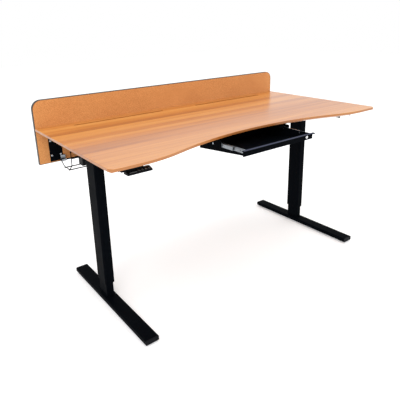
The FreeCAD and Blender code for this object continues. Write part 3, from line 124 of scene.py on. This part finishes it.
class Look:
    """Node graph of one material, with the chains that several surfaces share."""

    def __init__(self, name, values):
        self.material = bpy.data.materials.new(name)
        self.material.use_nodes = True
        self.nodes = self.material.node_tree.nodes
        self.links = self.material.node_tree.links
        self.shader = self.nodes["Principled BSDF"]
        for socket, value in values.items():
            self.shader.inputs[socket].default_value = value

    def new(self, kind, inputs=(), **settings):
        """New node. Inputs are (socket, value or output socket) pairs."""
        item = self.nodes.new(kind)
        for key, value in settings.items():
            setattr(item, key, value)
        for socket, value in inputs:
            if isinstance(value, bpy.types.NodeSocket):
                self.links.new(value, item.inputs[socket])
            else:
                item.inputs[socket].default_value = value
        return item

    def coords(self, scale=(1, 1, 1), vector=None):
        """Object coordinates, or a given vector, stretched by a scale."""
        if vector is None:
            vector = self.new("ShaderNodeTexCoord").outputs["Object"]
        return self.new("ShaderNodeMapping", [("Vector", vector),
                                              ("Scale", scale)]).outputs["Vector"]

    def noise(self, scale, detail=3, vector=None, roughness=0.5):
        """Smooth noise from 0 to 1."""
        return self.new("ShaderNodeTexNoise", [
            ("Vector", vector or self.coords()), ("Scale", scale), ("Detail", detail),
            ("Roughness", roughness)]).outputs["Fac"]

    def cells(self, scale, vector=None, feature="F1", output="Distance"):
        """One output of a cell pattern."""
        return self.new("ShaderNodeTexVoronoi", [
            ("Vector", vector or self.coords()), ("Scale", scale)],
            feature=feature).outputs[output]

    def math(self, operation, a, b=0.0):
        """Result of one operation on outputs or numbers."""
        return self.new("ShaderNodeMath", [(0, a), (1, b)],
                        operation=operation).outputs[0]

    def span(self, value, low, high, to_low=0.0, to_high=1.0):
        """Value mapped from low..high to another span, and held inside it."""
        return self.new("ShaderNodeMapRange", [
            ("Value", value), ("From Min", low), ("From Max", high),
            ("To Min", to_low), ("To Max", to_high)]).outputs["Result"]

    def grey(self, colour, channel):
        """One channel of a colour output."""
        return self.new("ShaderNodeSeparateColor", [("Color", colour)]).outputs[channel]

    def weighted(self, *parts):
        """Sum of (output, weight) parts."""
        total = None
        for output, weight in reversed(parts):
            term = self.math("MULTIPLY", output, weight)
            total = term if total is None else self.math("ADD", term, total)
        return total

    def ramp(self, value, *stops):
        """Colour through (position, colour) stops."""
        item = self.new("ShaderNodeValToRGB", [("Fac", value)])
        elements = item.color_ramp.elements
        elements[0].position, elements[0].color = stops[0]
        elements[1].position, elements[1].color = stops[-1]
        for position, colour in stops[1:-1]:
            elements.new(position).color = colour
        return item.outputs["Color"]

    def blend(self, factor, first, second):
        """Mix of two colours; the node's colour sockets go by index."""
        item = self.new("ShaderNodeMix", data_type="RGBA")
        for index, value in ((0, factor), (6, first), (7, second)):
            if isinstance(value, bpy.types.NodeSocket):
                self.links.new(value, item.inputs[index])
            else:
                item.inputs[index].default_value = value
        return item.outputs[2]

    def upward(self):
        """How far the surface faces up: 1 on top, 0 on upright faces, -1 below."""
        normal = self.new("ShaderNodeNewGeometry").outputs["Normal"]
        return self.new("ShaderNodeSeparateXYZ", [("Vector", normal)]).outputs["Z"]

    def edge_wear(self, radius):
        """1 on sharp edges and 0 on flats; also the softened normal."""
        soft = self.new("ShaderNodeBevel", [("Radius", radius)], samples=6).outputs["Normal"]
        flat = self.new("ShaderNodeNewGeometry").outputs["Normal"]
        same = self.new("ShaderNodeVectorMath", [(0, soft), (1, flat)],
                        operation="DOT_PRODUCT").outputs["Value"]
        return self.span(same, 0.82, 0.995, 1, 0), soft

    def relief(self, height, strength, distance, normal=None):
        """Bump from a height, on top of a softened normal if there is one."""
        inputs = [("Height", height), ("Strength", strength), ("Distance", distance)]
        if normal is not None:
            inputs.append(("Normal", normal))
        self.feed("Normal", self.new("ShaderNodeBump", inputs).outputs["Normal"])

    def feed(self, socket, output):
        """Link an output to one input of the surface shader."""
        self.links.new(output, self.shader.inputs[socket])


def shade(colour, factor, lift=0.0):
    """Lighter or darker copy of a colour."""
    return tuple(min(1, v * factor + lift) for v in colour[:3]) + (1,)


def wood_look():
    """Edge-glued strips with their grain along X under a satin lacquer."""
    look = Look("desktop_wood", {"Coat Weight": 0.45, "Coat Roughness": 0.16,
                                 "Specular IOR Level": 0.45})
    place = look.new("ShaderNodeSeparateXYZ", [
        ("Vector", look.new("ShaderNodeTexCoord").outputs["Object"])])
    strip_wide, strip_jump, seam_share = 0.047, 31.0, 0.014
    row = look.math("DIVIDE", place.outputs["Y"], strip_wide)
    chance = look.new("ShaderNodeTexWhiteNoise", [("W", look.math("FLOOR", row))],
                      noise_dimensions="1D").outputs["Value"]
    shift = look.math("MULTIPLY", chance, strip_jump)
    moved = look.new("ShaderNodeCombineXYZ", [
        ("X", look.math("ADD", place.outputs["X"], shift)),
        ("Y", place.outputs["Y"]), ("Z", place.outputs["Z"])]).outputs["Vector"]
    figure = look.noise(1.0, 4, look.coords((1.3, 26, 26), moved), 0.55)
    fibres = look.noise(1.0, 6, look.coords((5, 210, 210), moved), 0.6)
    pores = look.noise(1.0, 3, look.coords((22, 900, 900), moved), 0.5)
    tone = look.weighted((chance, 0.26), (figure, 0.5), (fibres, 0.3))
    colour = look.ramp(look.span(tone, 0.22, 0.86), (0.0, (0.27, 0.075, 0.013, 1)),
                       (0.4, (0.47, 0.165, 0.031, 1)), (0.7, (0.59, 0.245, 0.056, 1)),
                       (1.0, (0.70, 0.365, 0.105, 1)))
    dark_pores = look.span(pores, 0.60, 0.72, 0, 0.35)
    pored = look.blend(dark_pores, colour, (0.16, 0.045, 0.012, 1))
    seam = look.math("FRACT", row)
    near_seam = look.math("MINIMUM", seam, look.math("SUBTRACT", 1.0, seam))
    seam_line = look.span(near_seam, 0.0, seam_share, 0.22, 0)
    seamed = look.blend(seam_line, pored, (0.13, 0.035, 0.010, 1))
    # painted shade: upright faces and the underside blend to a darker brown, standing in for
    # the shade on the desktop's edges
    painted_edge_shade = look.span(look.upward(), 0.15, 0.85, 0.55, 0)
    look.feed("Base Color", look.blend(painted_edge_shade, seamed, (0.26, 0.075, 0.014, 1)))
    look.feed("Roughness", look.span(fibres, 0.2, 0.8, 0.30, 0.44))
    soft = look.edge_wear(0.0012)[1]
    height = look.math("SUBTRACT", look.math("MULTIPLY", fibres, 0.6), dark_pores)
    look.relief(height, 0.10, 0.0004, soft)
    return look


def cork_look():
    """Pressed cork: granules of several tones with fine dark flecks."""
    look = Look("cork", {"Specular IOR Level": 0.25, "Sheen Weight": 0.12,
                         "Sheen Roughness": 0.6})
    granule_scale = 520
    granules = look.grey(look.cells(granule_scale, output="Color"), "Red")
    cloud = look.noise(9, 4)
    grit = look.noise(620, 3)
    tone = look.weighted((granules, 0.5), (cloud, 0.35), (grit, 0.25))
    colour = look.ramp(look.span(tone, 0.22, 0.88), (0.0, (0.47, 0.175, 0.046, 1)),
                       (1.0, (0.72, 0.325, 0.105, 1)))
    flecks = look.span(look.noise(420, 2), 0.67, 0.74, 0, 0.35)
    look.feed("Base Color", look.blend(flecks, colour, (0.17, 0.055, 0.018, 1)))
    look.feed("Roughness", look.span(grit, 0.3, 0.7, 0.78, 0.92))
    edges = look.cells(granule_scale, feature="DISTANCE_TO_EDGE")
    height = look.math("ADD", look.span(edges, 0, 0.12, 0, 0.7),
                       look.math("MULTIPLY", grit, 0.5))
    look.relief(height, 0.3, 0.0003)
    return look


def board_look():
    """Particle board seen at drilled edges."""
    look = Look("board", {"Specular IOR Level": 0.2})
    chips = look.grey(look.cells(240, look.coords((1, 1, 0.5)), output="Color"), "Red")
    look.feed("Base Color", look.blend(chips, (0.30, 0.19, 0.10, 1), (0.52, 0.38, 0.22, 1)))
    look.feed("Roughness", look.span(look.noise(150), 0.3, 0.7, 0.75, 0.9))
    look.relief(chips, 0.4, 0.0006)
    return look


def coated_look(name, colour, worn, roughness, grain, depth, spread=0.06, shine=0.4,
                painted_sheen_top=None):
    """Powder coat or moulded plastic: fine texture, uneven gloss and softened edges; a top
    colour, if given, is a painted sheen on faces that point up.
    """
    look = Look(name, {"Specular IOR Level": shine})
    wear, soft = look.edge_wear(0.0009)
    patches = look.noise(14, 4)
    worn_edge = look.math("MULTIPLY", wear, look.span(patches, 0.35, 0.7, 0.1, 0.7))
    dust_and_sheen = look.blend(look.span(look.noise(60, 5), 0.45, 0.75, 0, 0.5), colour,
                       shade(colour, 1.7, 0.001))
    # painted sheen: faces that point up blend to a lighter colour, standing in for light
    # caught on top
    if painted_sheen_top:
        dust_and_sheen = look.blend(look.span(look.upward(), 0.25, 0.8), dust_and_sheen, painted_sheen_top)
    look.feed("Base Color", look.blend(worn_edge, dust_and_sheen, worn))
    look.feed("Roughness", look.span(patches, 0.3, 0.7, roughness - spread,
                                     roughness + spread))
    look.relief(look.noise(grain, 2), depth, 0.0003, soft)
    return look


def metal_look(name, colour, roughness, stretch=(1, 1, 1), spangle=0.0, dull=0.25):
    """Bare or plated metal with drawn or brushed streaks and duller patches."""
    look = Look(name, {"Metallic": 1.0})
    wear, soft = look.edge_wear(0.0005)
    streaks = look.noise(1.0, 5, look.coords(stretch), 0.6)
    patches = look.noise(30, 4)
    darker, brighter = shade(colour, 0.72), shade(colour, 1.15)
    tone = look.blend(look.span(patches, 0.35, 0.7, 0, 1), colour, darker)
    if spangle:
        flakes = look.grey(look.cells(170, output="Color"), "Green")
        tone = look.blend(look.math("MULTIPLY", flakes, spangle), tone, brighter)
    look.feed("Base Color", look.blend(look.math("MULTIPLY", wear, 0.5), tone, brighter))
    look.feed("Roughness", look.span(streaks, 0.25, 0.75, roughness,
                                     roughness + dull * 0.5))
    look.relief(streaks, 0.08, 0.0002, soft)
    return look


def rubber_look():
    """Dusty dark rubber with a fine grain."""
    look = Look("rubber", {"Specular IOR Level": 0.3, "Sheen Weight": 0.1})
    dust = look.span(look.noise(90, 5), 0.4, 0.75)
    look.feed("Base Color", look.blend(dust, (0.016, 0.016, 0.017, 1),
                                       (0.045, 0.044, 0.042, 1)))
    look.feed("Roughness", look.span(dust, 0, 1, 0.62, 0.85))
    look.relief(look.noise(800, 2), 0.15, 0.0003)
    return look


def glass_black_look():
    """Tinted display window."""
    look = Look("display_window", {"Coat Weight": 1.0, "Coat Roughness": 0.04,
                                   "Base Color": (0.006, 0.007, 0.009, 1)})
    smears = look.noise(120, 4)
    look.feed("Roughness", look.span(smears, 0.35, 0.7, 0.06, 0.16))
    look.relief(look.noise(35, 2), 0.02, 0.0002)
    return look


BLACK, WORN_BLACK = (0.0016, 0.0022, 0.0034, 1), (0.012, 0.013, 0.015, 1)
LOOKS = {
    "bamboo": wood_look(),
    "cork": cork_look(),
    "board": board_look(),
    "edging": coated_look("edge_band", (0.012, 0.012, 0.013, 1), (0.06, 0.055, 0.05, 1),
                          0.45, 500, 0.08),
    "black_steel": coated_look("powder_coat", BLACK, WORN_BLACK, 0.46, 1300, 0.12,
                               shine=0.009),
    # drawer front: the black powder coat with a painted blue-grey sheen on its upward faces
    "lip_painted_sheen": coated_look("lip_painted_sheen", BLACK, WORN_BLACK, 0.46, 1300, 0.12, shine=0.009,
                            painted_sheen_top=(0.050, 0.056, 0.085, 1)),
    "zinc": metal_look("zinc_plate", (0.34, 0.37, 0.40, 1), 0.30, (8, 120, 120), 0.5),
    "screw_steel": metal_look("screw_plate", (0.50, 0.54, 0.58, 1), 0.22, (60, 60, 60)),
    "chrome": metal_look("chrome_plate", (0.88, 0.89, 0.90, 1), 0.07, (200, 200, 200),
                         dull=0.1),
    "cast_alloy": coated_look("cast_housing", (0.020, 0.021, 0.023, 1),
                              (0.16, 0.16, 0.165, 1), 0.5, 420, 0.45),
    "nylon": coated_look("nylon", (0.030, 0.030, 0.031, 1), (0.06, 0.06, 0.06, 1), 0.5,
                         300, 0.10),
    "black_plastic": coated_look("moulded_black", (0.004, 0.0045, 0.006, 1),
                                 (0.03, 0.03, 0.033, 1), 0.38, 900, 0.22, shine=0.05),
    "gloss_black": glass_black_look(),
    "rubber_foot": rubber_look(),
    "spindle_steel": metal_look("spindle_steel", (0.56, 0.56, 0.57, 1), 0.22,
                                (90, 90, 900)),
    "print": coated_look("key_print", (0.62, 0.63, 0.64, 1), (0.7, 0.7, 0.7, 1), 0.5,
                         600, 0.05),
    "key_plastic": coated_look("key_plastic", (0.028, 0.029, 0.031, 1),
                               (0.09, 0.09, 0.09, 1), 0.42, 700, 0.12),
}


def dress(item, look):
    """Give a CAD object one look."""
    item.data.materials.clear()
    item.data.materials.append(LOOKS[look].material)


# ----------------------------------------------------------------------------------
# Mesh helpers
# ----------------------------------------------------------------------------------

def piece(name, mesh_data, body, looks):
    """Link a bmesh as a piece that rides on a body; looks are its material slots."""
    mesh = bpy.data.meshes.new(name)
    bmesh.ops.remove_doubles(mesh_data, verts=mesh_data.verts, dist=TINY)
    bmesh.ops.recalc_face_normals(mesh_data, faces=mesh_data.faces)
    mesh_data.to_mesh(mesh)
    mesh_data.free()
    for look in looks:
        mesh.materials.append(LOOKS[look].material)
    item = bpy.data.objects.new(name, mesh)
    scene.collection.objects.link(item)
    for face in mesh.polygons:
        face.use_smooth = True
    mesh.set_sharp_from_angle(angle=SHARP_ANGLE)
    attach(item, body)
    return item


def islands(node):
    """(lowest, highest) corners of each separate solid in a CAD node's mesh."""
    weld = 1e-6
    data = bmesh.new()
    data.from_mesh(nodes[node].data)
    bmesh.ops.remove_doubles(data, verts=data.verts, dist=weld)
    seen, found = set(), []
    for start in data.verts:
        if start in seen:
            continue
        stack, members = [start], []
        seen.add(start)
        while stack:
            vert = stack.pop()
            members.append(vert.co.copy())
            for edge in vert.link_edges:
                other = edge.other_vert(vert)
                if other not in seen:
                    seen.add(other)
                    stack.append(other)
        low = Vector([min(co[i] for co in members) for i in range(3)])
        high = Vector([max(co[i] for co in members) for i in range(3)])
        found.append((low, high))
    data.free()
    return sorted(found, key=lambda box: tuple(round(v, 5) for v in box[0]))


def circle(data, place, radius, height, steps, sides=None):
    """Vertices round Z, moved by a matrix; sides gives a share of the radius by angle."""
    verts = []
    for i in range(steps):
        angle = 2 * math.pi * i / steps
        reach = radius * sides(angle) if sides else radius
        verts.append(data.verts.new(place @ Vector((reach * math.cos(angle),
                                                    reach * math.sin(angle), height))))
    return verts


def bridge(data, low, high, material=0):
    """Band of faces between two rings of as many vertices."""
    for i in range(len(low)):
        j = (i + 1) % len(low)
        data.faces.new((low[i], low[j], high[j], high[i])).material_index = material


def turned(data, profile, place, steps=48, material=0, sides=None):
    """Lathe a profile of (radius, height) points about Z, then move it by a matrix."""
    rings = []
    for radius, height in profile:
        if radius < TINY:
            rings.append([data.verts.new(place @ Vector((0, 0, height)))])
        else:
            rings.append(circle(data, place, radius, height, steps, sides))
    for low, high in zip(rings, rings[1:]):
        for i in range(steps):
            j = (i + 1) % steps
            corners = []
            for vert in (low[i % len(low)], low[j % len(low)],
                         high[j % len(high)], high[i % len(high)]):
                if vert not in corners:
                    corners.append(vert)
            if len(corners) > 2:
                data.faces.new(corners).material_index = material
    for ring in (rings[0], rings[-1]):
        if len(ring) > 1:
            data.faces.new(ring).material_index = material


def turned_ring(data, profile, place, steps):
    """Lathe a closed profile about Z."""
    rings = [circle(data, place, r, h, steps) for r, h in profile]
    for low, high in zip(rings, rings[1:] + rings[:1]):
        bridge(data, low, high)


def block(data, low, high, bevel, segments=2):
    """Box from corner to corner with rounded edges."""
    verts = bmesh.ops.create_cube(data, size=1)["verts"]
    low, high = Vector(low), Vector(high)
    size, middle = high - low, (high + low) / 2
    for vert in verts:
        vert.co = Vector(a * b for a, b in zip(vert.co, size)) + middle
    edges = {edge for vert in verts for edge in vert.link_edges}
    bmesh.ops.bevel(data, geom=list(edges), offset=bevel, segments=segments, profile=0.6,
                    affect="EDGES")


def add_to(data, extra):
    """Copy one bmesh into another and free it."""
    mesh = bpy.data.meshes.new("scratch")
    extra.to_mesh(mesh)
    extra.free()
    data.from_mesh(mesh)
    bpy.data.meshes.remove(mesh)


def pointing(place, direction):
    """Matrix that carries +Z onto a direction, at a place."""
    turn = Vector(direction).to_track_quat("Z", "Y").to_matrix().to_4x4()
    return Matrix.Translation(place) @ turn


# ----------------------------------------------------------------------------------
# Screws and bolts
# ----------------------------------------------------------------------------------

def pan_head(data, place, radius, high, shank_radius, shank_long):
    """Pan head with a cross recess, and the shank behind it; the head points to +Z."""
    dome_steps, steps = 6, 32
    rim = 0.25
    dome = [(radius * math.cos(a), high * (rim + (1 - rim) * math.sin(a)))
            for a in (i * math.pi / 2 / dome_steps for i in range(dome_steps + 1))]
    flat, arm, wide = radius * 0.55, radius * 0.5, radius * 0.13
    profile = [(shank_radius, -shank_long), (shank_radius, 0), (radius, 0)]
    profile += [(r, h) for r, h in dome if r > flat] + [(flat, high)]

    def cross(angle):
        c, s = abs(math.cos(angle)), abs(math.sin(angle))
        reach = min(wide / max(min(c, s), 1e-6), arm / max(c, s))
        return max(reach, wide) / flat

    rings = [circle(data, place, r, h, steps) for r, h in profile]
    for depth, shrink in ((0.0, 1.0), (-0.45 * high, 0.8)):
        rings.append(circle(data, place, flat * shrink, high + depth, steps, cross))
    for low, top in zip(rings, rings[1:]):
        bridge(data, low, top)
    data.faces.new(rings[0][::-1])
    data.faces.new(rings[-1])


def make_screws(node, slot, name):
    """Cross-recess screws in place of a CAD node of plain ones."""
    data = bmesh.new()
    for low, high in islands(node):
        size = high - low
        along_y = size.y > size.z
        middle = (low + high) / 2
        radius = (size.z if along_y else size.y) / 2
        head_high, shank_radius = radius * 0.52, radius * 0.38
        if along_y:
            place = pointing((middle.x, low.y + head_high, middle.z), -Y)
            long = size.y - head_high
        else:
            place = pointing((middle.x, middle.y, low.z + head_high), -Z)
            long = size.z - head_high
        pan_head(data, place, radius, head_high, shank_radius, long * 0.97)
    made = piece(name, data, BODY_OF[node], [slot])
    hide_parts(node)


# ----------------------------------------------------------------------------------
# Motors, glides and housings
# ----------------------------------------------------------------------------------

def make_motor(side):
    """Motor can with a flange, a band groove, shallow fins and an end cap."""
    node = f"{side}_motor"
    low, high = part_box(node)
    r, long = (high.z - low.z) / 2, high.x - low.x
    outward = X if side == "left" else -X
    start = Vector((low.x if side == "left" else high.x, (low.y + high.y) / 2,
                    (low.z + high.z) / 2))
    place = pointing(start, outward)
    flange = [(r * 0.80, 0), (r * 0.97, 0.0015), (r, 0.004), (r, 0.016),
              (r * 0.965, 0.017), (r * 0.965, 0.0195), (r, 0.0205)]
    barrel = [(r, long * 0.70), (r * 0.97, long * 0.705), (r * 0.97, long * 0.725),
              (r, long * 0.73), (r, long * 0.93), (r * 0.955, long * 0.95)]
    cap = [(r * 0.86, long * 0.955), (r * 0.82, long * 0.985), (r * 0.42, long * 0.985),
           (r * 0.38, long), (r * 0.12, long), (r * 0.10, long * 0.994), (0, long * 0.994)]
    data = bmesh.new()
    turned(data, flange + barrel + cap, place, steps=72)
    fins, half_thick = 18, 0.0008
    for i in range(fins):
        angle = 2 * math.pi * i / fins
        fin = bmesh.new()
        block(fin, (-half_thick, r * 0.955, long * 0.76),
              (half_thick, r * 0.998, long * 0.90), 0.0003)
        matrix = place @ Matrix.Rotation(angle, 4, "Z")
        bmesh.ops.transform(fin, matrix=matrix, verts=fin.verts)
        add_to(data, fin)
    made = piece(f"{side}_motor_can", data, BODY_OF[node],
                 [SLOT_OF[node]])
    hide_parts(node)


def make_glide(node):
    """Levelling foot: ribbed rubber sole, hexagon collar and threaded stud."""
    low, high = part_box(node)
    middle = Vector(((low.x + high.x) / 2, (low.y + high.y) / 2, low.z))
    sole = (high.x - low.x) / 2
    place = Matrix.Translation(middle)
    data = bmesh.new()
    ribs, rib_depth, sole_top = 24, 0.006, 0.0049
    hexagon = math.pi / 3
    collar_low, collar_top = 0.0047, 0.0066

    def ribbed(angle):
        return 1 - rib_depth * (0.5 + 0.5 * math.cos(ribs * angle))

    def across(angle):
        return math.cos(hexagon / 2) / math.cos((angle % hexagon) - hexagon / 2)

    turned(data, [(sole * 0.90, 0), (sole * 0.97, 0.0006), (sole, 0.0018),
                  (sole * 0.985, 0.0034), (sole * 0.93, 0.0043), (sole * 0.80, 0.0047),
                  (sole * 0.62, sole_top), (0, sole_top)], place, steps=64, sides=ribbed)
    turned(data, [(sole * 0.44, collar_low), (sole * 0.46, 0.0050), (sole * 0.46, 0.0063),
                  (sole * 0.43, collar_top), (0, collar_top)], place, steps=48, material=1,
           sides=across)
    stud, pitch, top = 0.0038, 0.00125, high.z - low.z
    crest, root = 0.0004, 0.00105
    thread = [(stud * 0.86, collar_top)]
    for i in range(int((top - collar_top) / pitch)):
        base = collar_top + i * pitch
        thread += [(stud, base + crest), (stud * 0.84, base + root)]
    thread += [(stud * 0.7, top), (0, top)]
    turned(data, thread, place, steps=32, material=1)
    made = piece(f"{node}_foot", data, BODY_OF[node],
                 [SLOT_OF[node], "zinc"])
    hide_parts(node)


def make_gear_details(side):
    """Round-socket screws at the underside corners of a gear housing."""
    node = f"{side}_gear_housing"
    low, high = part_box(node)
    data = bmesh.new()
    inset, sunk, head, socket = 0.009, 0.0002, 0.003, 0.0012
    for x in (low.x + inset, high.x - inset):
        for y in (low.y + inset, high.y - inset):
            place = pointing((x, y, low.z + sunk), -Z)
            turned(data, [(0.0034, 0), (0.0034, 0.0026), (0.0031, head), (0.0018, head),
                          (0.0016, socket), (0, socket)], place, steps=36)
    piece(f"{side}_gear_screws", data, BODY_OF[node], ["screw_steel"])


def make_control_details():
    """Cooling ribs on the front and top of the control box."""
    low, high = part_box("control_box")
    data = bmesh.new()
    ribs, stand, sunk, half_wide, round_edge = 13, 0.0012, 0.001, 0.0018, 0.0008
    end_margin, side_margin = 0.012, 0.009
    first, pitch = 0.16, 0.055
    long = high.x - low.x
    for i in range(ribs):
        x = low.x + long * (first + pitch * i)
        block(data, (x - half_wide, low.y - stand, low.z + end_margin),
              (x + half_wide, low.y + sunk, high.z - end_margin), round_edge)
        block(data, (x - half_wide, low.y + side_margin, high.z - sunk),
              (x + half_wide, high.y - side_margin, high.z + stand), round_edge)
    piece("control_box_ribs", data, BODY_OF["control_box"],
          ["black_plastic"])


# ----------------------------------------------------------------------------------
# Drawer slides and lock
# ----------------------------------------------------------------------------------

def make_slide_balls():
    """Balls seated in the walls of the middle slide members."""
    for side, (low, high) in zip(SIDES, islands("slide_middle_members")):
        data = bmesh.new()
        ball, count, pitch = 0.00085, 22, 0.0062
        rise, depth, start = 0.0010, 0.0006, 0.004
        for z in (low.z + rise, high.z - rise):
            for i in range(count):
                y = low.y + start + i * pitch
                x = high.x - depth if side == "left" else low.x + depth
                bmesh.ops.create_icosphere(data, subdivisions=2, radius=ball,
                                           matrix=Matrix.Translation((x, y, z)))
        piece(f"{side}_slide_balls", data, "drawer_middle", ["chrome"])


def make_lock_bezel():
    """Turned bezel on the lock body, round the front of its cylinder."""
    low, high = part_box("lock_cylinder")
    middle_x, middle_z = (low.x + high.x) / 2, (low.z + high.z) / 2
    radius = (high.z - low.z) / 2
    body_low, body_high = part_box("lock_body")
    outer = (body_high.z - body_low.z) / 2
    data = bmesh.new()
    front, gap = 0.0005, 0.0003
    place = pointing((middle_x, body_low.y + front, middle_z), -Y)
    ring = [(radius + gap, -0.001), (radius + gap, 0.0003), (radius + 0.0007, front),
            (outer * 0.86, front), (outer * 0.93, 0.0002), (outer * 0.95, -0.0008)]
    turned_ring(data, ring, place, 64)
    piece("lock_bezel", data, BODY_OF["lock_body"], ["chrome"])


# ----------------------------------------------------------------------------------
# Hand control
# ----------------------------------------------------------------------------------

def symbol(data, name, middle, size, lift):
    """Raised mark on a key: one or two dots, or an arrow."""
    shapes, sunk, steps, dot = [], 0.0002, 20, 0.28 * size
    if name in ("memory_one", "memory_two"):
        shifts = (0,) if name == "memory_one" else (-size * 0.45, size * 0.45)
        for shift in shifts:
            shapes.append([Vector((shift + dot * math.cos(t), dot * math.sin(t), 0))
                           for t in (2 * math.pi * i / steps for i in range(steps))])
    else:
        way = 1 if name == "up" else -1
        shapes.append([Vector((-size * 0.6, -0.4 * size * way, 0)),
                       Vector((size * 0.6, -0.4 * size * way, 0)),
                       Vector((0, 0.6 * size * way, 0))])
    for outline in shapes:
        rings = [[data.verts.new(Vector(middle) + co + Z * h) for co in outline]
                 for h in (-sunk, lift)]
        bridge(data, rings[0], rings[1], material=1)
        data.faces.new(rings[0][::-1]).material_index = 1
        data.faces.new(rings[1]).material_index = 1


def make_keys():
    """Rounded key caps with raised marks in place of the plain buttons."""
    mark_room, mark_size, mark_high, round_edge = 0.0003, 0.0036, 0.0002, 0.0009
    for name in ("memory_one", "memory_two", "down", "up"):
        node = f"button_{name}"
        low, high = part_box(node)
        data = bmesh.new()
        top = high.z - mark_room
        block(data, low, (high.x, high.y, top), round_edge, segments=3)
        symbol(data, name, ((low.x + high.x) / 2, (low.y + high.y) / 2, top), mark_size,
               mark_high)
        made = piece(f"key_cap_{name}", data, BODY_OF[node],
                     ["key_plastic", "print"])
        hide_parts(node)


# ----------------------------------------------------------------------------------
# Everything
# ----------------------------------------------------------------------------------

make_camera()
make_studio()

for node_name, item in nodes.items():
    # the drawer front takes the black coat with the painted sheen on its upward faces
    dress(item, "lip_painted_sheen" if node_name == "drawer_front" else SLOT_OF[node_name])

make_screws("panel_bracket_screws", "screw_steel", "bracket_screws")
make_screws("desktop_screws", "screw_steel", "underside_screws")
for side_name in SIDES:
    make_motor(side_name)
    make_gear_details(side_name)
    for end_name in ("front", "rear"):
        make_glide(f"{side_name}_{end_name}_glide")
make_control_details()
make_slide_balls()
make_lock_bezel()
make_keys()
